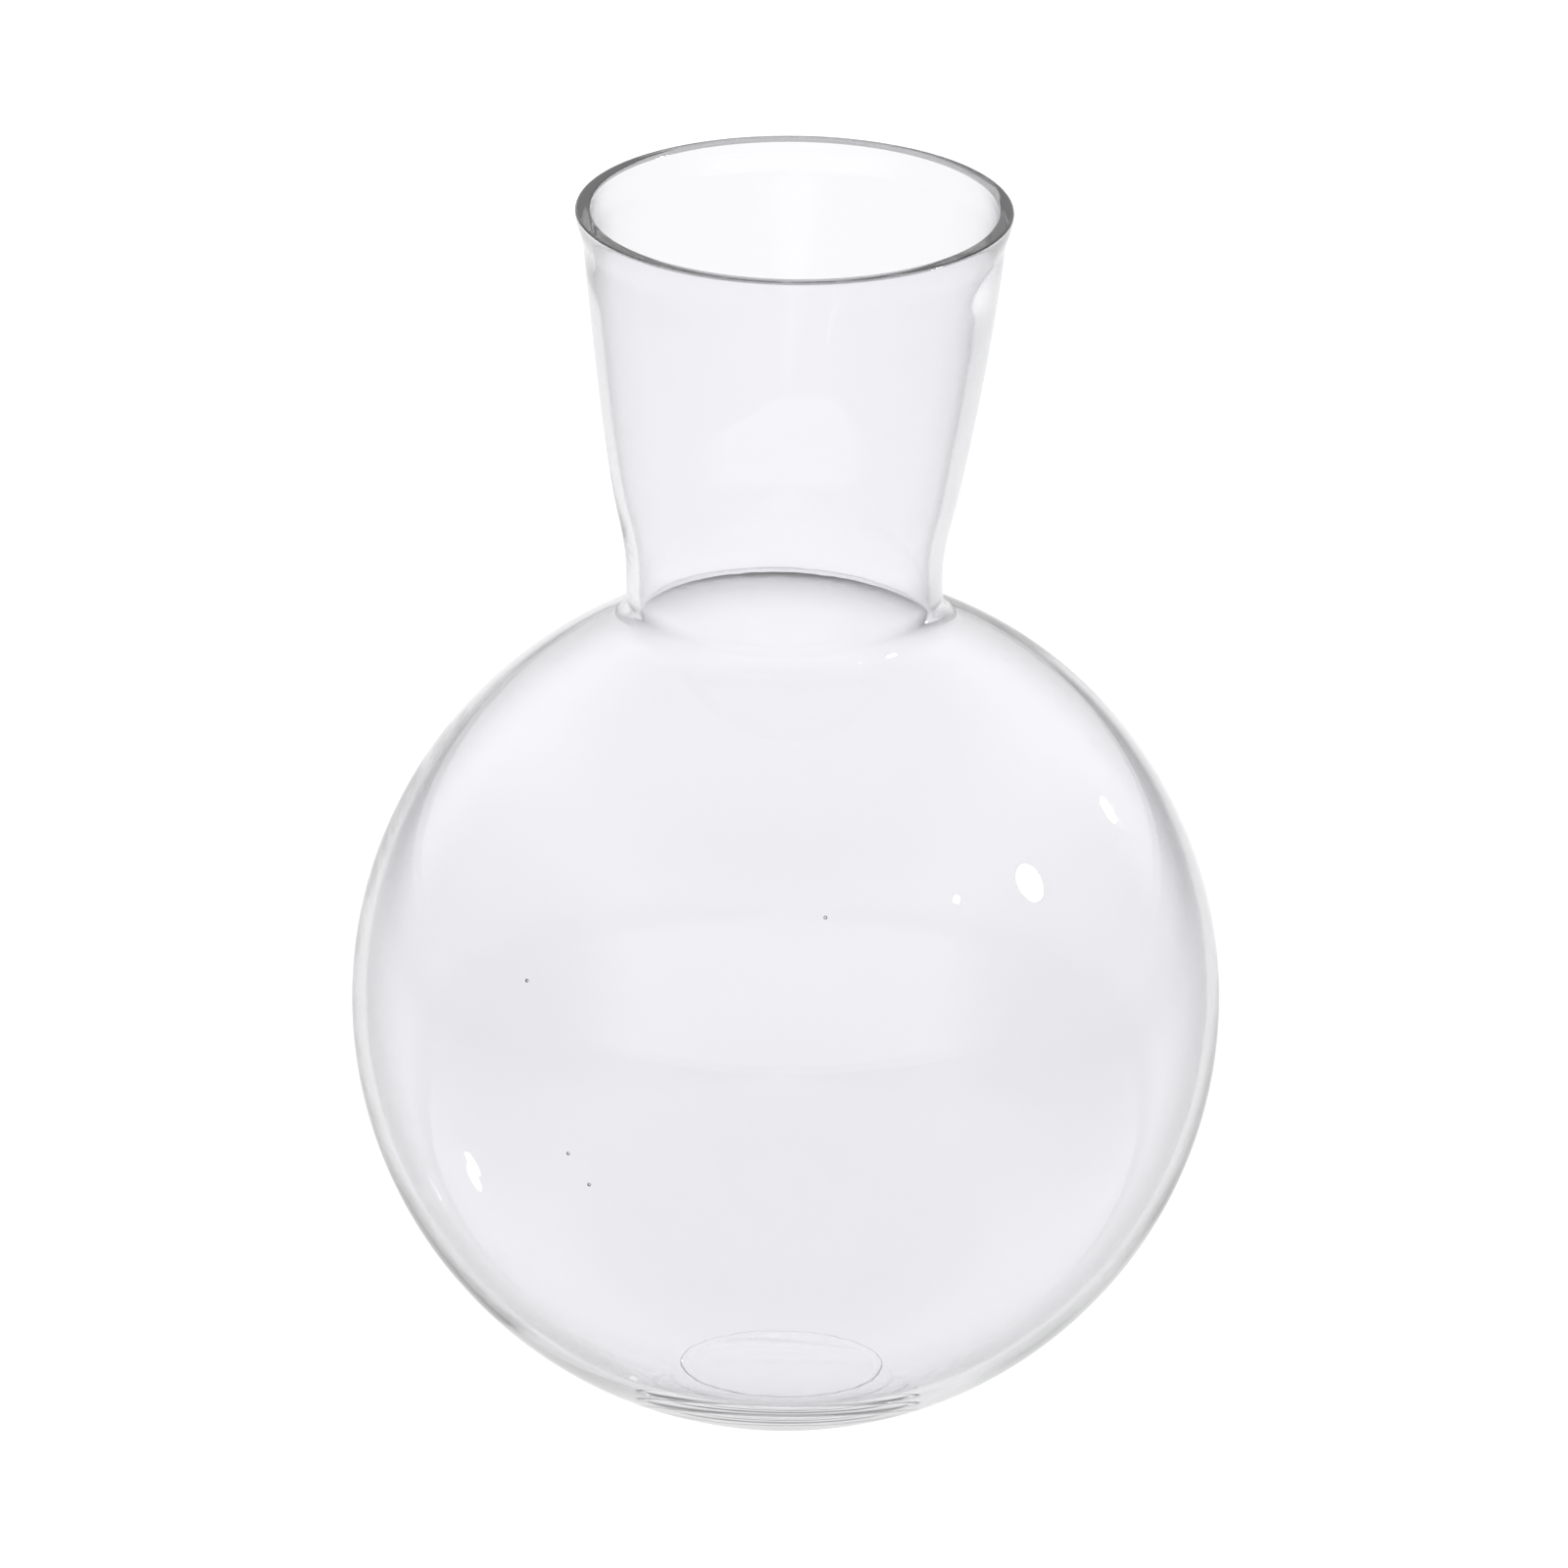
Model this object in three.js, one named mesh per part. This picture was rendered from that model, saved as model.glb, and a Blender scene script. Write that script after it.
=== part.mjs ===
// A clear glass flask with a round body, a flared neck, a flat-topped lip and a thick flat foot.
// Glass is worked in stages, and each stage is one solid here: foot, body, neck seam, neck and lip.
// Neighbouring solids share one ring-shaped end face, where the hot glass is fused.
// Millimetres, +Z up. The origin is the centre of the face that the flask stands on.
import * as THREE from "three";

// Body and foot. Angles around the body are in degrees from straight down, seen from the body's centre.
const BODY_RADIUS = 60;
const BODY_WALL = 1.8;
const INSIDE_RAISE = 0.6; // the inside sphere's centre is above the outside one's, so the wall thins upwards
const BODY_ARC_STEP = 6; // between the rings of points on the body, one of which is its widest
const FOOT_FLAT_RADIUS = 14.8; // where the sphere would meet the standing face
const FOOT_EDGE_RADIUS = 0.5; // rounding from the standing face to the body
const GROOVE_WIDTH = 0.24; // of the fine mark around the standing face, just inside its edge
const GROOVE_DEPTH = 0.08;
const FOOT_INSIDE_Z = 2.8; // height of the foot's inside face at the axis
const FOOT_FLAT_REACH = 20; // how far out the inside face stays nearly flat
const FOOT_TAPER = 16; // length along the wall over which the thick foot thins out
const FOOT_TOP_ANGLE = 48;

// Neck seam: a fillet outside and a large rounding inside
const THROAT_RADIUS = 21.9; // outside of the neck where it is narrowest
const SEAM_FILLET = 4.5;
const SEAM_INSIDE_ROUNDING = 7;
const SEAM_BOTTOM_ANGLE = 150;
const SEAM_TOP_Z = 120;

// Neck and lip. Points are [distance from the axis, height], on the outside.
const NECK_WALL = 1.9;
const NECK_WAIST = [24.1, 133.4];
const NECK_WAIST_FLARE = 0.19; // outwards for each millimetre upwards
const NECK_TOP = [29.1, 168.7];
const NECK_TOP_FLARE = 0.09;
const THROAT_PULL = 5.5; // the pulls are the lengths over which a line keeps its direction at each point
const WAIST_PULL_DOWN = 4.5;
const WAIST_PULL_UP = 10;
const TOP_PULL = 10;
const LIP_OUTER_RADIUS = 30.2;
const LIP_WALL = 2.2;
const LIP_OUTER_CORNER = 0.35; // roundings on both sides of the lip's flat top
const LIP_INNER_CORNER = 0.45;
const LIP_PULL = 1.5;
const TOTAL_HEIGHT = 173.8;

const ROUND_SEGMENTS = 48;
const GLASS = { color: 0xeef1f5, roughness: 0.03, metalness: 0, transparent: true, opacity: 0.35 };

// Worked out from them
const bodyCentreZ = Math.sqrt(BODY_RADIUS ** 2 - FOOT_FLAT_RADIUS ** 2);
const outsideSphere = { radius: BODY_RADIUS, centreZ: bodyCentreZ };
const insideSphere = { radius: BODY_RADIUS - BODY_WALL, centreZ: bodyCentreZ + INSIDE_RAISE };
const { degToRad, radToDeg } = THREE.MathUtils;

// Points along an arc, both ends included. Angles are in degrees from straight outwards.
function arc([x, z], radius, from, to, steps) {
  return Array.from({ length: steps + 1 }, (_, i) => {
    const angle = degToRad(from + ((to - from) * i) / steps);
    return [x + radius * Math.cos(angle), z + radius * Math.sin(angle)];
  });
}

// Points along a sphere, both ends included. Angles are in degrees from straight down.
function bodyArc({ radius, centreZ }, fromAngle, toAngle, steps) {
  return arc([0, centreZ], radius, fromAngle - 90, toAngle - 90, steps);
}

// Points along a curve that leaves start towards startPull and reaches end from endPull, both ends included.
function curve(start, startPull, endPull, end, steps) {
  const points = [start, startPull, endPull, end].map(([x, z]) => new THREE.Vector2(x, z));
  return new THREE.CubicBezierCurve(...points).getPoints(steps).map((p) => [p.x, p.y]);
}

// The point that lies dz above another one on a line with this flare.
const pulled = ([x, z], flare, dz) => [x + flare * dz, z + dz];

// Direction from a sphere's centre to a point, in degrees from straight down.
const angleOn = ({ centreZ }, [x, z]) => radToDeg(Math.atan2(x, centreZ - z));

// Each stage has an outside and an inside line, both from the bottom up.

function footLines() {
  const edgeX = Math.sqrt((BODY_RADIUS - FOOT_EDGE_RADIUS) ** 2 - (bodyCentreZ - FOOT_EDGE_RADIUS) ** 2);
  const edgeCentre = [edgeX, FOOT_EDGE_RADIUS];
  const edgeAngle = angleOn(outsideSphere, edgeCentre);
  const outside = [
    [0, 0],
    [edgeX - GROOVE_WIDTH, 0],
    [edgeX - GROOVE_WIDTH / 2, GROOVE_DEPTH],
    ...arc(edgeCentre, FOOT_EDGE_RADIUS, -90, edgeAngle - 90, 2),
    ...bodyArc(outsideSphere, edgeAngle, FOOT_TOP_ANGLE, 6).slice(1),
  ];
  const [top] = bodyArc(insideSphere, FOOT_TOP_ANGLE, FOOT_TOP_ANGLE, 1);
  const slope = degToRad(FOOT_TOP_ANGLE);
  const belowTop = [top[0] - FOOT_TAPER * Math.cos(slope), top[1] - FOOT_TAPER * Math.sin(slope)];
  const inside = curve([0, FOOT_INSIDE_Z], [FOOT_FLAT_REACH, FOOT_INSIDE_Z], belowTop, top, 8);
  return { outside, inside };
}

function bodyLines() {
  const steps = (SEAM_BOTTOM_ANGLE - FOOT_TOP_ANGLE) / BODY_ARC_STEP;
  const line = (sphere) => bodyArc(sphere, FOOT_TOP_ANGLE, SEAM_BOTTOM_ANGLE, steps);
  return { outside: line(outsideSphere), inside: line(insideSphere) };
}

// Both sides run up the body, around a circle that lies against body and throat, and up the throat.
function seamLines() {
  const line = (sphere, throat, rounding, steps) => {
    const x = throat + rounding;
    const centre = [x, sphere.centreZ + Math.sqrt((sphere.radius + rounding) ** 2 - x ** 2)];
    const touchAngle = angleOn(sphere, centre);
    return [
      ...bodyArc(sphere, SEAM_BOTTOM_ANGLE, touchAngle, 1),
      ...arc(centre, rounding, touchAngle + 90, 180, steps).slice(1),
      [throat, SEAM_TOP_Z],
    ];
  };
  return {
    outside: line(outsideSphere, THROAT_RADIUS, SEAM_FILLET, 5),
    inside: line(insideSphere, THROAT_RADIUS - NECK_WALL, SEAM_INSIDE_ROUNDING, 6),
  };
}

function neckLines() {
  const bottom = [THROAT_RADIUS, SEAM_TOP_Z];
  const aboveBottom = pulled(bottom, 0, THROAT_PULL);
  const belowWaist = pulled(NECK_WAIST, NECK_WAIST_FLARE, -WAIST_PULL_DOWN);
  const aboveWaist = pulled(NECK_WAIST, NECK_WAIST_FLARE, WAIST_PULL_UP);
  const belowTop = pulled(NECK_TOP, NECK_TOP_FLARE, -TOP_PULL);
  const outside = [
    ...curve(bottom, aboveBottom, belowWaist, NECK_WAIST, 4),
    ...curve(NECK_WAIST, aboveWaist, belowTop, NECK_TOP, 5).slice(1),
  ];
  return { outside, inside: outside.map(([x, z]) => [x - NECK_WALL, z]) };
}

// One side of the lip: up from the neck, around the corner and onto the flat top.
function lipLine(start, radius, corner, towards, steps) {
  const cornerCentre = [radius + towards * corner, TOTAL_HEIGHT - corner];
  const cornerStart = [radius, cornerCentre[1]];
  const fromAngle = towards < 0 ? 0 : 180;
  const aboveStart = pulled(start, NECK_TOP_FLARE, LIP_PULL);
  const belowCorner = pulled(cornerStart, 0, -LIP_PULL);
  return [
    ...curve(start, aboveStart, belowCorner, cornerStart, steps),
    ...arc(cornerCentre, corner, fromAngle, 90, 3).slice(1),
  ];
}

function lipLines() {
  const bore = [NECK_TOP[0] - NECK_WALL, NECK_TOP[1]];
  return {
    outside: lipLine(NECK_TOP, LIP_OUTER_RADIUS, LIP_OUTER_CORNER, -1, 3),
    inside: lipLine(bore, LIP_OUTER_RADIUS - LIP_WALL, LIP_INNER_CORNER, 1, 3),
  };
}

// Turns the closed outline between an outside and an inside line into a solid of glass.
function turned(name, { outside, inside }) {
  const bothLines = [...outside, ...inside.reverse()];
  const startsOnAxis = outside[0][0] === 0;
  const loop = startsOnAxis ? bothLines : [...bothLines, outside[0]];
  const points = loop.map(([x, z]) => new THREE.Vector2(x, z));
  const outline = points.filter((p, i) => i === 0 || p.distanceTo(points[i - 1]) > 1e-6);
  const geometry = new THREE.LatheGeometry(outline, ROUND_SEGMENTS);
  geometry.rotateX(Math.PI / 2); // LatheGeometry turns about Y, and the flask stands along Z
  const mesh = new THREE.Mesh(geometry, new THREE.MeshStandardMaterial(GLASS));
  mesh.name = name;
  return mesh;
}

const flask = new THREE.Group();
flask.add(
  turned("thick_foot", footLines()),
  turned("round_body", bodyLines()),
  turned("neck_seam_ring", seamLines()),
  turned("flared_neck", neckLines()),
  turned("flat_lip", lipLines()),
);

export default flask;
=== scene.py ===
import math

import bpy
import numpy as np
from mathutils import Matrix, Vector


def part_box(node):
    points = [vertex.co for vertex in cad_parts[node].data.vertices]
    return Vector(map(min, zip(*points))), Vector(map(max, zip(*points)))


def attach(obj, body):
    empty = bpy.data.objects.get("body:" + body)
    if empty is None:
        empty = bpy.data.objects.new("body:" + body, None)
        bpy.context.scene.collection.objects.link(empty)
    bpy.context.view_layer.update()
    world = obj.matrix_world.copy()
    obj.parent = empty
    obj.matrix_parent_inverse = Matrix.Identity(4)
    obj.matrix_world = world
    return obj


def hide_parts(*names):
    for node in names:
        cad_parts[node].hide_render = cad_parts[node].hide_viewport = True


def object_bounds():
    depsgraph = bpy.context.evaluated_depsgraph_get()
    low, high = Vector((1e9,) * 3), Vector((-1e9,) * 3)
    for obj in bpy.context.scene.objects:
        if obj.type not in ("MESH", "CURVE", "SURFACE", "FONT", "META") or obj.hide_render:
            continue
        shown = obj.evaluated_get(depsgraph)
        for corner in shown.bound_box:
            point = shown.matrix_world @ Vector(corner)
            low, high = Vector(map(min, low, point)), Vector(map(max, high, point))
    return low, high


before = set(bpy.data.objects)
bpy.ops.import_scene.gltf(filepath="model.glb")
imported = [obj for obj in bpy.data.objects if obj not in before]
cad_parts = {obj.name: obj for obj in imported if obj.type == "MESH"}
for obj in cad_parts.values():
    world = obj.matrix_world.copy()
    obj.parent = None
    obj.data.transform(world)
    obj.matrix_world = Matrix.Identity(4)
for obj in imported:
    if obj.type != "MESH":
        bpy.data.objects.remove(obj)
cad_low, cad_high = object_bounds()

# A clear glass flask with a round body, a flared neck, a flat-topped lip and a thick flat foot.
# Each stage of the glass is one closed piece. Where two stages are fused, both end in the same flat ring,
# which is fully see-through, so light crosses it as it does in glass that has no joint.
# Lengths are in metres. Outline points are [distance from the axis, height].

MM = 0.001
TINY = 1e-9  # these two keep a length that is 0 from dividing
TINIER = 1e-20

# The outline, as in the CAD model. Angles around the body are in degrees from straight down.
BODY_WALL = 1.8 * MM
INSIDE_RAISE = 0.6 * MM  # the inside sphere's centre is this much higher, so the wall thins upwards
FOOT_FLAT_RADIUS = 14.8 * MM
FOOT_EDGE_RADIUS = 0.5 * MM
GROOVE_WIDTH = 0.24 * MM
GROOVE_DEPTH = 0.08 * MM
FOOT_INSIDE_Z = 2.8 * MM
FOOT_FLAT_REACH = 20 * MM
FOOT_TAPER = 16 * MM
FOOT_TOP_ANGLE = 48
SEAM_FILLET = 4.5 * MM
SEAM_INSIDE_ROUNDING = 7 * MM
SEAM_BOTTOM_ANGLE = 150
THROAT_RADIUS = 21.9 * MM
NECK_WALL = 1.9 * MM
NECK_WAIST = (24.1 * MM, 133.4 * MM)
NECK_WAIST_FLARE = 0.19
NECK_TOP_FLARE = 0.09
THROAT_PULL = 5.5 * MM
WAIST_PULL_DOWN = 4.5 * MM
WAIST_PULL_UP = 10 * MM
TOP_PULL = 10 * MM
LIP_OUTER_CORNER = 0.35 * MM
LIP_INNER_CORNER = 0.45 * MM
LIP_WALL = 2.2 * MM
LIP_PULL = 1.5 * MM

# Fineness of the meshes: steps around the axis, and steps along each stretch of the outline
ROUND_STEPS = 256
FOOT_FLAT_STEPS = 12
GROOVE_STEPS = 4
FOOT_EDGE_STEPS = 8
FOOT_SIDE_STEPS = 28
FOOT_INSIDE_STEPS = 40
BODY_STEPS = 72
SEAM_BODY_STEPS = 3
SEAM_ROUNDING_STEPS = 24
SEAM_THROAT_STEPS = 4
THROAT_STEPS = 20
NECK_STEPS = 30
LIP_OUTSIDE_STEPS = 16
LIP_INSIDE_STEPS = 12
LIP_CORNER_STEPS = 10
LIP_TOP_STEPS = 4

# Unevenness of blown glass
SEED = 11
WAVE_TERMS = 9
WAVE_MOST_AROUND = 4  # the most waves that one term has around the axis
WAVE_MOST_UP = 2.5  # and over the height
WAVE_SMOOTHING = 6  # the higher, the more the waves that go up and down keep of their strength
OUTSIDE_WAVES = 0.10 * MM
INSIDE_WAVES = 0.22 * MM
NECK_BORE_SHIFT = 0.35 * MM  # the bore of the neck is off centre, so one side's wall is thicker
THROAT_LEAN = 0.85 * MM  # the throat sits this far towards -X of the body's and the mouth's axis

# Where the unevenness starts and ends to take hold, so that the foot's face and the lip stay true
WAVES_OFF_AXIS = (8 * MM, 30 * MM)
WAVES_OFF_FLOOR = (1 * MM, 20 * MM)
WAVES_BELOW_LIP = 10 * MM
SHIFT_BELOW_SEAM = 12 * MM
SHIFT_ABOVE_SEAM = 20 * MM
SHIFT_BELOW_LIP = 6 * MM
LEAN_BELOW_SEAM = 15 * MM

# Seeds: tiny bubbles in the wall of the body. Degrees around from +X and degrees from straight down.
SEEDS = [(-129, 108), (-120, 86), (-117, 82), (-84, 121)]
SEED_RADIUS = 0.28 * MM
SEED_STEPS = 12

# The camera looks down on the flask from far away
CAMERA_ELEVATION = 20.3
CAMERA_ROLL = 0.65
CAMERA_DISTANCE = 9.0
FRAME_WIDTH = 216.6 * MM  # what the picture shows across, at the flask
AIM_ABOVE_BODY = 29.4 * MM
AIM_LEFT_OF_BODY = 0.57 * MM
SENSOR = 36.0
CAMERA_REACH = 100  # beyond the floor's corners
LIGHT_BOUNCES = 48  # light runs far along the inside of a glass wall before it comes out

# Studio: a white floor and white surroundings. Seen through the glass they get darker to the sides,
# upwards and on the camera's side: the world gives less light there, and the floor has painted shade in
# its colour, under and in front of the flask and to the sides, and is darker overall. Each fade is an
# axis, where along it the light, or for the floor its colour, starts and ends to fall off, and what is
# left. The world's fades go by direction, the floor's by place in metres.
WORLD_STRENGTH = 1.05
WORLD_FADES = [
    ("X", 0.62, 0.97, 0.4),
    ("X", -0.62, -0.97, 0.4),
    ("Y", -0.15, -0.9, 0.85),
    ("Z", 0.45, 0.9, 0.35),
]
# painted shade on the floor's colour, seen only in the glass
FLOOR_SHADE_FADES = [
    ("X", 0.07, 0.4, 0.5),
    ("X", -0.09, -0.5, 0.5),
    ("Y", 0.3, 0.08, 0.92),
    ("Y", 0.04, -0.1, 0.88),
]
FLOOR_SHADE_IN_GLASS = 0.86
FLOOR_GAP = 0.2 * MM  # keeps the floor clear of the standing face
FLOOR_HALF_WIDTH = 30
FLOOR_WHITE = 0.9

# Lamps: direction towards the lamp, width in degrees and strength
FLOOR_LAMP = ((0.1, -0.2, 0.97), 60, 2.0)
KEY_LAMP = ((0.878, -0.07, 0.475), 8, 0.9)
GLINT_LAMP = ((0.697, -0.412, 0.587), 1.8, 0.05)
SIDE_LAMP = ((0.753, 0.622, 0.215), 4, 0.4)

# Glass. Where it is seen at a slant it gets painted shade, the dark edge colour, which stands in for grey
# edges; 0 is square on and 1 is edge on.
GLASS_INDEX = 1.47
GLASS_COLOUR = (0.934, 0.93, 0.95, 1)
# painted shade: the dark colour that glass seen at a slant is mixed towards
EDGE_PAINTED_SHADE = (0.3, 0.3, 0.32, 1)
EDGE_START = 0.55
# painted shade: a dark glass colour for the top of the rim, standing in for its dark ring
RIM_PAINTED_SHADE = (0.28, 0.28, 0.29, 1)
RIM_DEPTH = 0.25 * MM  # how far down from the top the rim's face with painted shade reaches
RIPPLE_SCALE = 60
RIPPLE_STRETCH = 3  # the ripples are this much longer around the flask than along it
RIPPLE_DETAIL = 3
RIPPLE_HEIGHT = 0.012 * MM
POLISH_SCALE = 45
POLISH_WEAR = (0.5, 0.8)  # the noise values where the polish starts to be worn and where it is worst
ROUGHEST = 0.03

# The sockets of a Mix node that mixes colours: the two colours and the result
COLOUR_A = 6
COLOUR_B = 7
COLOUR_RESULT = 2

body_radius = (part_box("round_body")[1].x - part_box("round_body")[0].x) / 2
body_centre_z = math.sqrt(body_radius**2 - FOOT_FLAT_RADIUS**2)
outside_sphere = (body_radius, body_centre_z)
inside_sphere = (body_radius - BODY_WALL, body_centre_z + INSIDE_RAISE)
seam_top_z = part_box("neck_seam_ring")[1].z
neck_top = (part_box("flared_neck")[1].x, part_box("flared_neck")[1].z)
lip_outer_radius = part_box("flat_lip")[1].x
total_height = cad_high.z


# Outline

def arc(centre, radius, start, end, steps):
    """Points along an arc, both ends included. Angles are in degrees from straight outwards."""
    angles = np.radians(np.linspace(start, end, steps + 1))
    return np.stack([centre[0] + radius * np.cos(angles), centre[1] + radius * np.sin(angles)], axis=1)


def body_arc(sphere, start, end, steps):
    """Points along a sphere, given as its radius and the height of its centre."""
    radius, centre_z = sphere
    return arc((0, centre_z), radius, start - 90, end - 90, steps)


def curve(start, start_pull, end_pull, end, steps):
    """Points along a curve that leaves start towards start_pull and reaches end from end_pull."""
    t = np.linspace(0, 1, steps + 1)[:, None]
    a, b, c, d = (np.array(p, float) for p in (start, start_pull, end_pull, end))
    return (1 - t) ** 3 * a + 3 * t * (1 - t) ** 2 * b + 3 * t**2 * (1 - t) * c + t**3 * d


def line(start, end, steps):
    """Points along a straight line, both ends included."""
    return np.linspace(start, end, steps + 1)


def pulled(point, flare, dz):
    """The point that lies dz above another one on a line with this flare."""
    return (point[0] + flare * dz, point[1] + dz)


def join(*stretches):
    """One list of points from stretches that each start where the last one ended."""
    return np.concatenate([stretches[0]] + [s[1:] for s in stretches[1:]])


def angle_on(sphere, point):
    """Direction from a sphere's centre to a point, in degrees from straight down."""
    return math.degrees(math.atan2(point[0], sphere[1] - point[1]))


# Each stage has an outside and an inside line, both from the bottom up.

def foot_lines():
    """The flat standing face with its groove, the rounded edge and the low part of the sphere."""
    edge_x = math.sqrt((body_radius - FOOT_EDGE_RADIUS) ** 2 - (body_centre_z - FOOT_EDGE_RADIUS) ** 2)
    edge_centre = (edge_x, FOOT_EDGE_RADIUS)
    edge_angle = angle_on(outside_sphere, edge_centre)
    groove = (edge_x - GROOVE_WIDTH / 2, GROOVE_DEPTH)
    outside = join(
        line((0, 0), (edge_x - GROOVE_WIDTH, 0), FOOT_FLAT_STEPS),
        line((edge_x - GROOVE_WIDTH, 0), groove, GROOVE_STEPS),
        line(groove, (edge_x, 0), GROOVE_STEPS),
        arc(edge_centre, FOOT_EDGE_RADIUS, -90, edge_angle - 90, FOOT_EDGE_STEPS),
        body_arc(outside_sphere, edge_angle, FOOT_TOP_ANGLE, FOOT_SIDE_STEPS),
    )
    top = body_arc(inside_sphere, FOOT_TOP_ANGLE, FOOT_TOP_ANGLE, 1)[0]
    slope = math.radians(FOOT_TOP_ANGLE)
    below_top = top - FOOT_TAPER * np.array([math.cos(slope), math.sin(slope)])
    middle = (0, FOOT_INSIDE_Z)
    flat_end = (FOOT_FLAT_REACH, FOOT_INSIDE_Z)
    inside = curve(middle, flat_end, below_top, top, FOOT_INSIDE_STEPS)
    return outside, inside


def body_lines():
    outside = body_arc(outside_sphere, FOOT_TOP_ANGLE, SEAM_BOTTOM_ANGLE, BODY_STEPS)
    inside = body_arc(inside_sphere, FOOT_TOP_ANGLE, SEAM_BOTTOM_ANGLE, BODY_STEPS)
    return outside, inside


def seam_line(sphere, throat, rounding):
    """Up the body, around a circle that lies against body and throat, and up the throat."""
    radius, centre_z = sphere
    x = throat + rounding
    centre = (x, centre_z + math.sqrt((radius + rounding) ** 2 - x**2))
    touch = angle_on(sphere, centre)
    return join(
        body_arc(sphere, SEAM_BOTTOM_ANGLE, touch, SEAM_BODY_STEPS),
        arc(centre, rounding, touch + 90, 180, SEAM_ROUNDING_STEPS),
        line((throat, centre[1]), (throat, seam_top_z), SEAM_THROAT_STEPS),
    )


def seam_lines():
    outside = seam_line(outside_sphere, THROAT_RADIUS, SEAM_FILLET)
    inside = seam_line(inside_sphere, THROAT_RADIUS - NECK_WALL, SEAM_INSIDE_ROUNDING)
    return outside, inside


def neck_lines():
    """Up from the throat to the waist and on to the lip. The inside runs beside the outside."""
    bottom = (THROAT_RADIUS, seam_top_z)
    above_bottom = pulled(bottom, 0, THROAT_PULL)
    below_waist = pulled(NECK_WAIST, NECK_WAIST_FLARE, -WAIST_PULL_DOWN)
    above_waist = pulled(NECK_WAIST, NECK_WAIST_FLARE, WAIST_PULL_UP)
    below_top = pulled(neck_top, NECK_TOP_FLARE, -TOP_PULL)
    outside = join(
        curve(bottom, above_bottom, below_waist, NECK_WAIST, THROAT_STEPS),
        curve(NECK_WAIST, above_waist, below_top, neck_top, NECK_STEPS),
    )
    return outside, outside - np.array([NECK_WALL, 0])


def lip_side(start, corner_start, steps):
    """One side of the lip, up from the neck to where its corner starts."""
    above_start = pulled(start, NECK_TOP_FLARE, LIP_PULL)
    below_corner = pulled(corner_start, 0, -LIP_PULL)
    return curve(start, above_start, below_corner, corner_start, steps)


def lip_lines():
    """The sides of the lip with their corners. The outside line also has the flat top."""
    bore = (neck_top[0] - NECK_WALL, neck_top[1])
    inner_radius = lip_outer_radius - LIP_WALL
    outer_corner = (lip_outer_radius - LIP_OUTER_CORNER, total_height - LIP_OUTER_CORNER)
    inner_corner = (inner_radius + LIP_INNER_CORNER, total_height - LIP_INNER_CORNER)
    top_start = (outer_corner[0], total_height)
    top_end = (inner_corner[0], total_height)
    outside = join(
        lip_side(neck_top, (lip_outer_radius, outer_corner[1]), LIP_OUTSIDE_STEPS),
        arc(outer_corner, LIP_OUTER_CORNER, 0, 90, LIP_CORNER_STEPS),
        line(top_start, top_end, LIP_TOP_STEPS),
    )
    inside = join(
        lip_side(bore, (inner_radius, inner_corner[1]), LIP_INSIDE_STEPS),
        arc(inner_corner, LIP_INNER_CORNER, 180, 90, LIP_CORNER_STEPS),
    )
    return outside, inside


# Glass surface: one grid of points for the whole flask, rows along the outline, columns around the axis

def waves(rng, height):
    """A smooth random function of angle and height, from -1 to 1, that joins up around the axis."""
    orders = rng.integers(1, WAVE_MOST_AROUND + 1, WAVE_TERMS)
    rises = rng.uniform(-WAVE_MOST_UP, WAVE_MOST_UP, WAVE_TERMS) * 2 * math.pi / height
    phases = rng.uniform(0, 2 * math.pi, WAVE_TERMS)
    weights = 1 / (orders + np.abs(rises) * height / WAVE_SMOOTHING)
    weights /= weights.sum()
    terms = list(zip(orders, rises, phases, weights))

    def value(angle, z):
        return sum(w * np.cos(order * angle + rise * z + phase) for order, rise, phase, w in terms)

    return value


def smooth(x, low, high):
    """Rises from 0 at low to 1 at high, without a kink."""
    t = np.clip((x - low) / (high - low), 0, 1)
    return t * t * (3 - 2 * t)


def outline_directions(points):
    """Unit vectors out of the glass, at each point of the outline from foot to lip and back."""
    step = np.gradient(points, axis=0)
    length = np.linalg.norm(step, axis=1, keepdims=True)
    step /= np.maximum(length, TINY)
    return np.stack([step[:, 1], -step[:, 0]], axis=1)


def flask_grid(outside, inside):
    """Points of the whole surface, up the outside and down the inside: (rows, columns, 3)."""
    rng = np.random.default_rng(SEED)
    outline = np.concatenate([outside, inside[::-1][1:]])
    away = outline_directions(outline)
    angle = np.linspace(0, 2 * math.pi, ROUND_STEPS, endpoint=False)[None, :]
    r, z = outline[:, :1], outline[:, 1:]
    is_inside = (np.arange(len(outline)) >= len(outside))[:, None]
    outer = waves(rng, total_height)
    inner = waves(rng, total_height)
    off_axis = smooth(r, *WAVES_OFF_AXIS)
    off_floor = smooth(z, *WAVES_OFF_FLOOR)
    lip_start = neck_top[1]
    below_lip = 1 - smooth(z, lip_start - WAVES_BELOW_LIP, lip_start)
    outer_push = -OUTSIDE_WAVES * (1 + outer(angle, z)) / 2 * off_floor * below_lip
    inner_push = INSIDE_WAVES * inner(angle, z) * off_axis * below_lip
    push = np.where(is_inside, inner_push, outer_push)
    radius = r + away[:, :1] * push
    height = z + away[:, 1:] * push
    neck_starts = smooth(z, seam_top_z - SHIFT_BELOW_SEAM, seam_top_z + SHIFT_ABOVE_SEAM)
    neck_ends = 1 - smooth(z, lip_start - SHIFT_BELOW_LIP, lip_start)
    lean_starts = smooth(z, seam_top_z - LEAN_BELOW_SEAM, seam_top_z)
    lean_ends = 1 - smooth(z, seam_top_z, lip_start)
    lean = -THROAT_LEAN * lean_starts * lean_ends
    shift = lean - np.where(is_inside, NECK_BORE_SHIFT * (neck_starts * neck_ends), 0)
    return np.stack([radius * np.cos(angle) + shift, radius * np.sin(angle), height], axis=2)


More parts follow.
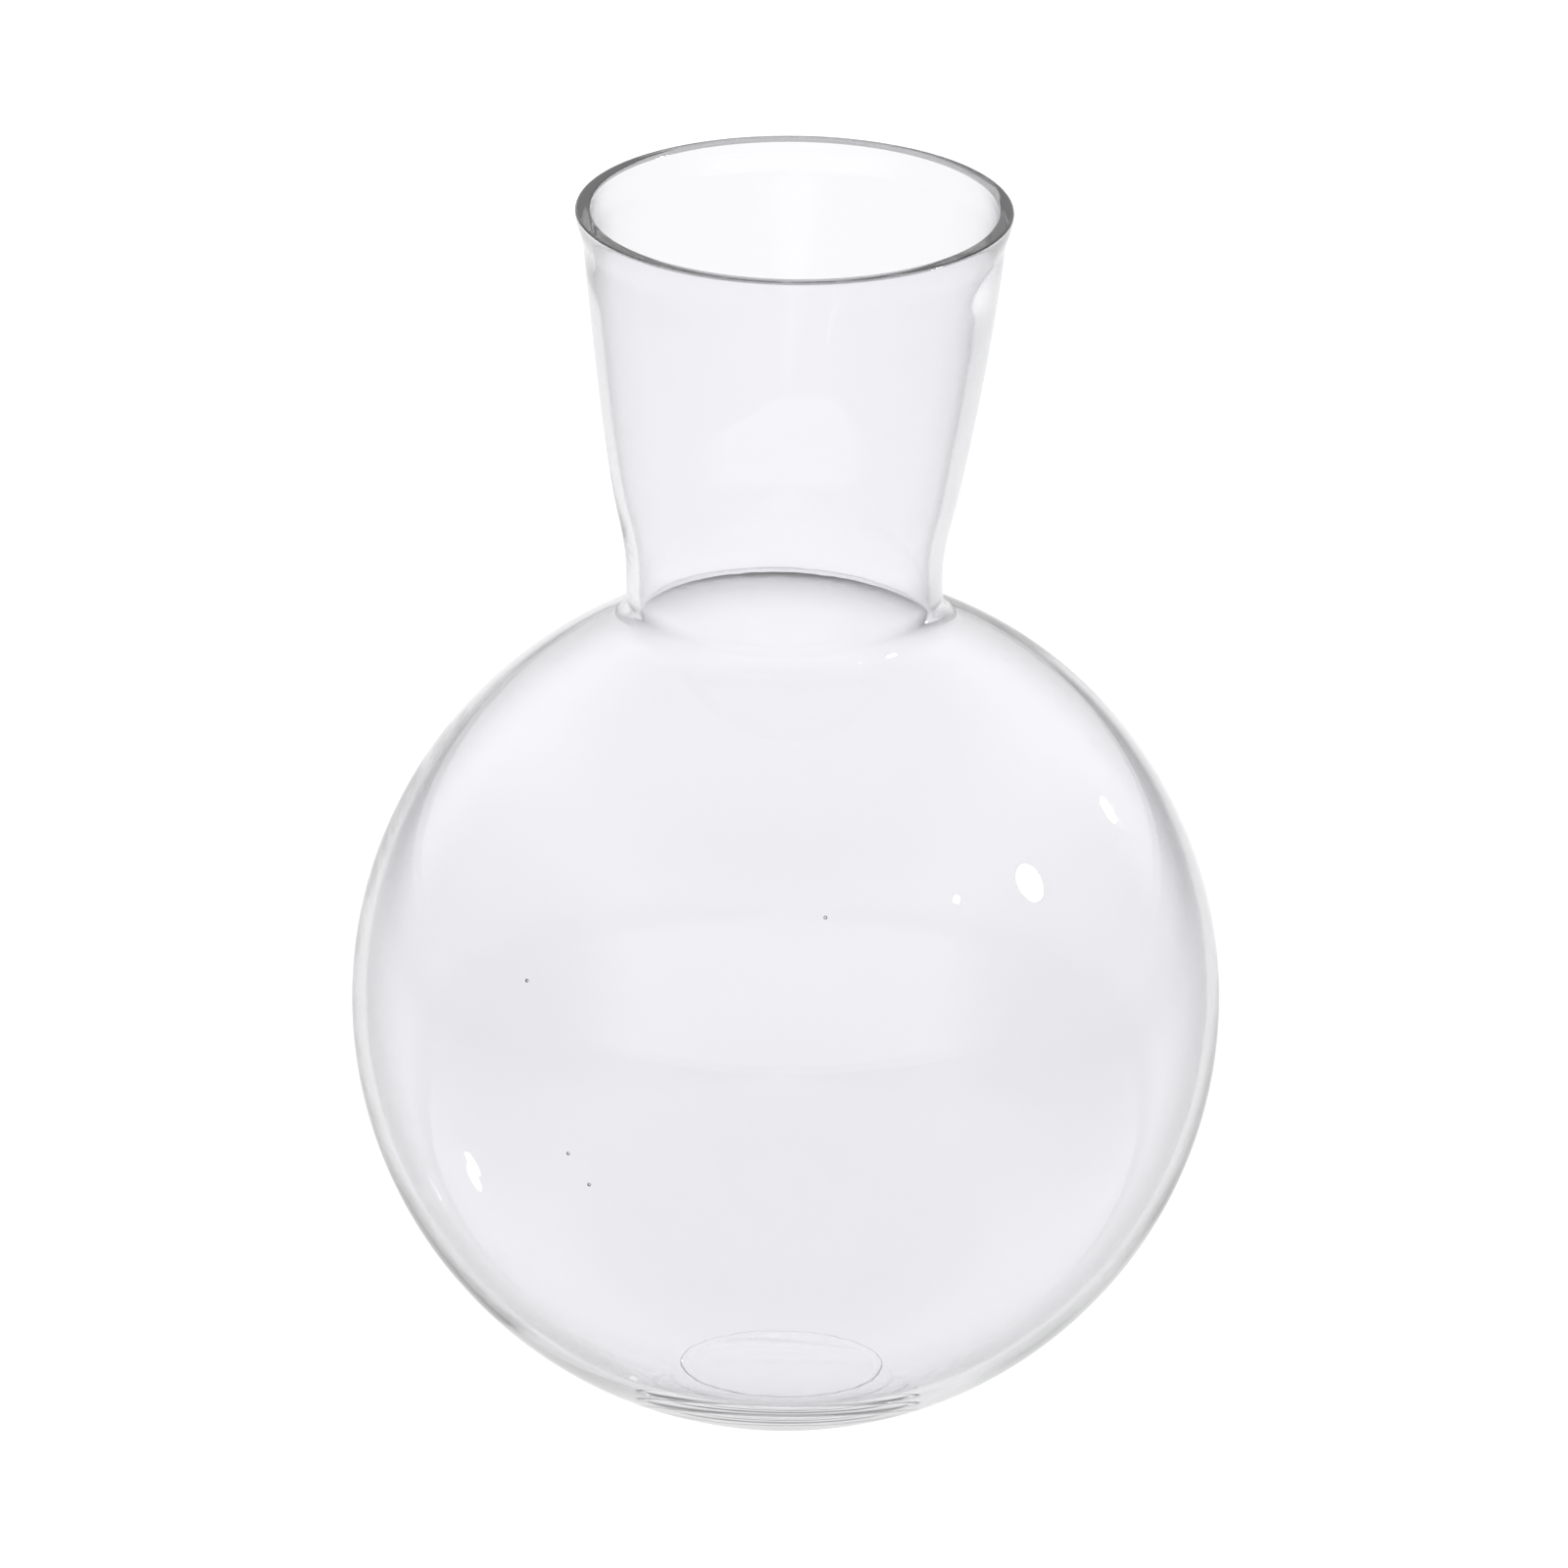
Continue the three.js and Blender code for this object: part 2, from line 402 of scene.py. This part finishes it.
def grid_normals(grid):
    """Normals that point out of the glass, from the slopes of the grid along its rows and columns."""
    before, after = np.roll(grid, 1, axis=0), np.roll(grid, -1, axis=0)
    down = np.linalg.norm(grid - before, axis=2, keepdims=True)
    up = np.linalg.norm(after - grid, axis=2, keepdims=True)
    along = (after - grid) * down**2 + (grid - before) * up**2
    along[0] = grid[1] - grid[0]
    along[-1] = grid[-1] - grid[-2]
    around = np.roll(grid, -1, axis=1) - np.roll(grid, 1, axis=1)
    normals = np.cross(around, along)
    length = np.linalg.norm(normals, axis=2, keepdims=True)
    normals = normals / np.maximum(length, TINIER)
    normals[0] = (0, 0, -1)
    normals[-1] = (0, 0, 1)
    return normals


def seed_centres():
    """The middle of each bubble, halfway through the wall of the body."""
    radius = body_radius - BODY_WALL / 2
    for around, up in SEEDS:
        around, up = math.radians(around), math.radians(up)
        level = radius * math.sin(up)
        height = body_centre_z - radius * math.cos(up)
        yield np.array([level * math.cos(around), level * math.sin(around), height])


def seed_surface(centre):
    """A small ball of air: points, directions out of the glass (towards the centre) and faces."""
    rings = SEED_STEPS // 2
    directions = [np.array([0.0, 0.0, 1.0])]
    for i in range(1, rings):
        tilt = math.pi * i / rings
        level = math.sin(tilt)
        for j in range(SEED_STEPS):
            turn = 2 * math.pi * j / SEED_STEPS
            directions.append(np.array([level * math.cos(turn), level * math.sin(turn), math.cos(tilt)]))
    directions.append(np.array([0.0, 0.0, -1.0]))
    last = len(directions) - 1
    faces = []
    for j in range(SEED_STEPS):
        k = (j + 1) % SEED_STEPS
        faces.append([0, 1 + k, 1 + j])
        for i in range(rings - 2):
            a, b = 1 + i * SEED_STEPS, 1 + (i + 1) * SEED_STEPS
            faces.append([a + j, a + k, b + k, b + j])
        low = 1 + (rings - 2) * SEED_STEPS
        faces.append([low + j, low + k, last])
    return [centre + SEED_RADIUS * d for d in directions], [-d for d in directions], faces


def band_surface(grid, normals, bands):
    """One or two bands of the grid's rows, closed by flat rings towards the neighbouring pieces.

    Gives lists of points, directions out of the glass, faces, and whether each face is flat.
    """
    points, directions, faces, flat = [], [], [], []
    numbers = {}

    def row(i):
        """The vertex numbers of a row of the grid, made on first use. A row on the axis is one vertex."""
        if i not in numbers:
            on_axis = i in (0, len(grid) - 1)
            count = 1 if on_axis else ROUND_STEPS
            first = len(points)
            points.extend(grid[i][:count].tolist())
            directions.extend(normals[i][:count].tolist())
            numbers[i] = [first + (0 if on_axis else j) for j in range(ROUND_STEPS)]
        return numbers[i]

    def strip(low, high, is_flat):
        """Faces all around between two rows, smooth ones of the surface or flat ones that close it."""
        a, b = row(low), row(high)
        for j in range(ROUND_STEPS):
            k = (j + 1) % ROUND_STEPS
            faces.append(list(dict.fromkeys([a[j], a[k], b[k], b[j]])))
            flat.append(is_flat)

    for low, high in bands:
        for i in range(low, high):
            strip(i, i + 1, False)
    (first_low, first_high), (last_low, last_high) = bands[0], bands[-1]
    if first_low > 0:
        strip(last_high, first_low, True)
    if first_high != last_high:
        strip(first_high, last_low, True)
    return points, directions, faces, flat


def add_seeds(points, directions, faces, flat):
    """Adds the bubbles to the lists of the body's surface."""
    for centre in seed_centres():
        seed_points, seed_directions, seed_faces = seed_surface(centre)
        first = len(points)
        points.extend(seed_points)
        directions.extend(seed_directions)
        faces.extend([[first + i for i in face] for face in seed_faces])
        flat.extend([False] * len(seed_faces))


def glass_mesh(name, points, directions, faces, flat, materials):
    """A mesh with given normals on the glass surface. Its flat faces have the second material."""
    mesh = bpy.data.meshes.new(name)
    mesh.from_pydata(points, [], faces)
    for material in materials:
        mesh.materials.append(material)
    mesh.polygons.foreach_set("use_smooth", [not f for f in flat])
    mesh.polygons.foreach_set("material_index", [int(f) for f in flat])
    corner_normals = []
    for polygon in mesh.polygons:
        for vertex in polygon.vertices:
            corner_normals.append(polygon.normal if flat[polygon.index] else directions[vertex])
    mesh.normals_split_custom_set(corner_normals)
    return mesh


def glass_piece(node, grid, normals, bands, materials):
    """The piece that replaces a node of the CAD model. The seeds are in the body."""
    name = "glass_" + node
    surface = band_surface(grid, normals, bands)
    if node == "round_body":
        add_seeds(*surface)
    piece = bpy.data.objects.new(name, glass_mesh(name, *surface, materials))
    bpy.context.scene.collection.objects.link(piece)
    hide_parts(node)
    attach(piece, "root")
    piece.visible_shadow = False
    piece.visible_diffuse = False
    return piece


def make_flask(materials):
    """One piece of glass for each stage, all cut from the same grid."""
    stages = [
        ("thick_foot", foot_lines()),
        ("round_body", body_lines()),
        ("neck_seam_ring", seam_lines()),
        ("flared_neck", neck_lines()),
        ("flat_lip", lip_lines()),
    ]
    outside = join(*(lines[0] for _, lines in stages))
    inside = join(*(lines[1] for _, lines in stages))
    grid = flask_grid(outside, inside)
    normals = grid_normals(grid)
    last = len(grid) - 1
    low_out, low_in = 0, 0
    pieces = []
    for node, (out_points, in_points) in stages:
        high_out, high_in = low_out + len(out_points) - 1, low_in + len(in_points) - 1
        if node == "flat_lip":
            bands = [(low_out, last - low_in)]
        else:
            bands = [(low_out, high_out), (last - high_in, last - low_in)]
        pieces.append(glass_piece(node, grid, normals, bands, materials))
        low_out, low_in = high_out, high_in
    return pieces


# Materials

def new_material(name):
    material = bpy.data.materials.new(name)
    material.use_nodes = True
    return material, material.node_tree.nodes["Principled BSDF"]


def slant_painted_shade(tree, colour):
    """The colour, and the dark edge colour as painted shade where the glass is seen at a slant."""
    view = tree.nodes.new("ShaderNodeLayerWeight")
    slant = tree.nodes.new("ShaderNodeMapRange")
    slant.interpolation_type = "SMOOTHSTEP"
    slant.inputs["From Min"].default_value = EDGE_START
    slant.inputs["From Max"].default_value = 1
    tree.links.new(view.outputs["Facing"], slant.inputs["Value"])
    painted_edge_shade_mix = tree.nodes.new("ShaderNodeMix")
    painted_edge_shade_mix.data_type = "RGBA"
    tree.links.new(slant.outputs["Result"], painted_edge_shade_mix.inputs["Factor"])
    painted_edge_shade_mix.inputs[COLOUR_A].default_value = colour
    painted_edge_shade_mix.inputs[COLOUR_B].default_value = EDGE_PAINTED_SHADE
    return painted_edge_shade_mix.outputs[COLOUR_RESULT]


def ripples(tree, place):
    """Faint ripples, longer around the flask than along it."""
    stretch = tree.nodes.new("ShaderNodeMapping")
    stretch.inputs["Scale"].default_value = (1, 1, RIPPLE_STRETCH)
    tree.links.new(place, stretch.inputs["Vector"])
    noise = tree.nodes.new("ShaderNodeTexNoise")
    noise.inputs["Scale"].default_value = RIPPLE_SCALE
    noise.inputs["Detail"].default_value = RIPPLE_DETAIL
    tree.links.new(stretch.outputs["Vector"], noise.inputs["Vector"])
    bump = tree.nodes.new("ShaderNodeBump")
    bump.inputs["Strength"].default_value = 1
    bump.inputs["Distance"].default_value = RIPPLE_HEIGHT
    tree.links.new(noise.outputs["Fac"], bump.inputs["Height"])
    return bump.outputs["Normal"]


def uneven_polish(tree, place):
    """Roughness, 0 for the most part and up to the roughest in patches."""
    noise = tree.nodes.new("ShaderNodeTexNoise")
    noise.inputs["Scale"].default_value = POLISH_SCALE
    tree.links.new(place, noise.inputs["Vector"])
    roughness = tree.nodes.new("ShaderNodeMapRange")
    roughness.inputs["From Min"].default_value = POLISH_WEAR[0]
    roughness.inputs["From Max"].default_value = POLISH_WEAR[1]
    roughness.inputs["To Max"].default_value = ROUGHEST
    tree.links.new(noise.outputs["Fac"], roughness.inputs["Value"])
    return roughness.outputs["Result"]


def glass(name, colour):
    """Clear glass with faint ripples and slightly uneven polish, as hand work leaves them."""
    material, shader = new_material(name)
    tree = material.node_tree
    place = tree.nodes.new("ShaderNodeTexCoord").outputs["Object"]
    shader.inputs["Transmission Weight"].default_value = 1
    shader.inputs["IOR"].default_value = GLASS_INDEX
    # painted shade: the base colour darkens towards the edge colour where the glass is seen at a slant
    tree.links.new(slant_painted_shade(tree, colour), shader.inputs["Base Color"])
    tree.links.new(ripples(tree, place), shader.inputs["Normal"])
    tree.links.new(uneven_polish(tree, place), shader.inputs["Roughness"])
    return material


def paint_rim_shade(lip, material):
    """Puts dark glass on the lip's top as painted shade, where the light that enters runs down inside the
    wall.
    """
    lip.data.materials.append(material)
    for face in lip.data.polygons:
        if face.center.z > total_height - RIM_DEPTH:
            face.material_index = len(lip.data.materials) - 1


def fused_face():
    """Fully see-through, for the flat rings where two pieces are fused."""
    material, shader = new_material("fused_face")
    shader.inputs["Alpha"].default_value = 0
    return material


# Studio

def faded(tree, position, fades):
    """The product of fades from 1, each given as axis, where it starts and ends, and what is left."""
    parts = tree.nodes.new("ShaderNodeSeparateXYZ")
    tree.links.new(position, parts.inputs[0])
    result = None
    for axis, start, end, least in fades:
        fade = tree.nodes.new("ShaderNodeMapRange")
        fade.interpolation_type = "SMOOTHSTEP"
        fade.inputs["From Min"].default_value = start
        fade.inputs["From Max"].default_value = end
        fade.inputs["To Min"].default_value = 1
        fade.inputs["To Max"].default_value = least
        tree.links.new(parts.outputs[axis], fade.inputs["Value"])
        if result is None:
            result = fade.outputs["Result"]
        else:
            result = multiplied(tree, result, fade.outputs["Result"])
    return result


def multiplied(tree, value, factor):
    """The product of a socket and a factor, which is a number or another socket."""
    product = tree.nodes.new("ShaderNodeMath")
    product.operation = "MULTIPLY"
    tree.links.new(value, product.inputs[0])
    if isinstance(factor, float):
        product.inputs[1].default_value = factor
    else:
        tree.links.new(factor, product.inputs[1])
    return product.outputs[0]


def white_to_camera(tree, value):
    """1 for what the camera sees directly, and the value for all other light."""
    ray = tree.nodes.new("ShaderNodeLightPath")
    seen = tree.nodes.new("ShaderNodeMix")
    tree.links.new(ray.outputs["Is Camera Ray"], seen.inputs["Factor"])
    tree.links.new(value, seen.inputs["A"])
    seen.inputs["B"].default_value = 1
    return seen.outputs["Result"]


def pale_floor():
    mesh = bpy.data.meshes.new("pale_floor")
    half = FLOOR_HALF_WIDTH
    z = -FLOOR_GAP
    corners = [(-half, -half, z), (half, -half, z), (half, half, z), (-half, half, z)]
    mesh.from_pydata(corners, [], [(0, 1, 2, 3)])
    floor = bpy.data.objects.new("pale_floor", mesh)
    bpy.context.scene.collection.objects.link(floor)
    material, shader = new_material("pale_floor")
    tree = material.node_tree
    shader.inputs["Roughness"].default_value = 1
    shader.inputs["Specular IOR Level"].default_value = 0
    place = tree.nodes.new("ShaderNodeTexCoord")
    # painted shade: for all but camera rays the floor's colour is darkened by the fades and by a flat
    # factor
    light = multiplied(tree, faded(tree, place.outputs["Object"], FLOOR_SHADE_FADES), FLOOR_SHADE_IN_GLASS)
    colour = multiplied(tree, white_to_camera(tree, light), FLOOR_WHITE)
    tree.links.new(colour, shader.inputs["Base Color"])
    mesh.materials.append(material)


def studio_world():
    """White surroundings that light the flask. The fades only show in the glass and on the floor."""
    world = bpy.data.worlds.new("studio")
    bpy.context.scene.world = world
    world.use_nodes = True
    tree = world.node_tree
    background = tree.nodes["Background"]
    direction = tree.nodes.new("ShaderNodeTexCoord")
    light = faded(tree, direction.outputs["Generated"], WORLD_FADES)
    strength = multiplied(tree, white_to_camera(tree, light), WORLD_STRENGTH)
    background.inputs["Color"].default_value = (1, 1, 1, 1)
    tree.links.new(strength, background.inputs["Strength"])


def lamp(name, direction, angle, strength):
    """A far lamp that shines from this direction."""
    data = bpy.data.lights.new(name, "SUN")
    data.angle = math.radians(angle)
    data.energy = strength
    light = bpy.data.objects.new(name, data)
    light.rotation_mode = "QUATERNION"
    light.rotation_quaternion = Vector(direction).to_track_quat("Z", "Y")
    bpy.context.scene.collection.objects.link(light)
    return light


def studio_lamps():
    """The key and glint lamps show on the near side of the glass, the side lamp inside its far wall.

    The floor lamp lights the floor and doesn't show in the glass.
    """
    key = lamp("key_lamp", *KEY_LAMP)
    key.visible_transmission = False
    glint = lamp("glint_lamp", *GLINT_LAMP)
    glint.visible_transmission = False
    side = lamp("side_lamp", *SIDE_LAMP)
    side.visible_glossy = False
    floor = lamp("floor_lamp", *FLOOR_LAMP)
    floor.visible_glossy = False
    floor.visible_transmission = False


def camera():
    """Seen from the -Y side and a little above, with a small roll."""
    data = bpy.data.cameras.new("camera")
    data.sensor_width = SENSOR
    data.lens = SENSOR * CAMERA_DISTANCE / FRAME_WIDTH
    data.clip_end = CAMERA_REACH
    seen = bpy.data.objects.new("camera", data)
    bpy.context.scene.collection.objects.link(seen)
    elevation = math.radians(CAMERA_ELEVATION)
    back = Vector((0, -math.cos(elevation), math.sin(elevation)))
    up = Vector((0, math.sin(elevation), math.cos(elevation)))
    aim = Vector((-AIM_LEFT_OF_BODY, 0, body_centre_z)) + up * AIM_ABOVE_BODY
    turn = back.to_track_quat("Z", "Y").to_matrix()
    roll = Matrix.Rotation(math.radians(CAMERA_ROLL), 3, "Z")
    seen.matrix_world = Matrix.Translation(aim + back * CAMERA_DISTANCE) @ (turn @ roll).to_4x4()
    bpy.context.scene.camera = seen


camera()
studio_world()
pale_floor()
pieces = make_flask([glass("clear_glass", GLASS_COLOUR), fused_face()])
# painted shade: the top faces of the lip get the dark rim glass
paint_rim_shade(pieces[-1], glass("rim_painted_shade_glass", RIM_PAINTED_SHADE))
studio_lamps()

scene = bpy.context.scene
scene.view_settings.view_transform = "Standard"
scene.cycles.max_bounces = LIGHT_BOUNCES
scene.cycles.glossy_bounces = LIGHT_BOUNCES
scene.cycles.transmission_bounces = LIGHT_BOUNCES
scene.cycles.transparent_max_bounces = LIGHT_BOUNCES
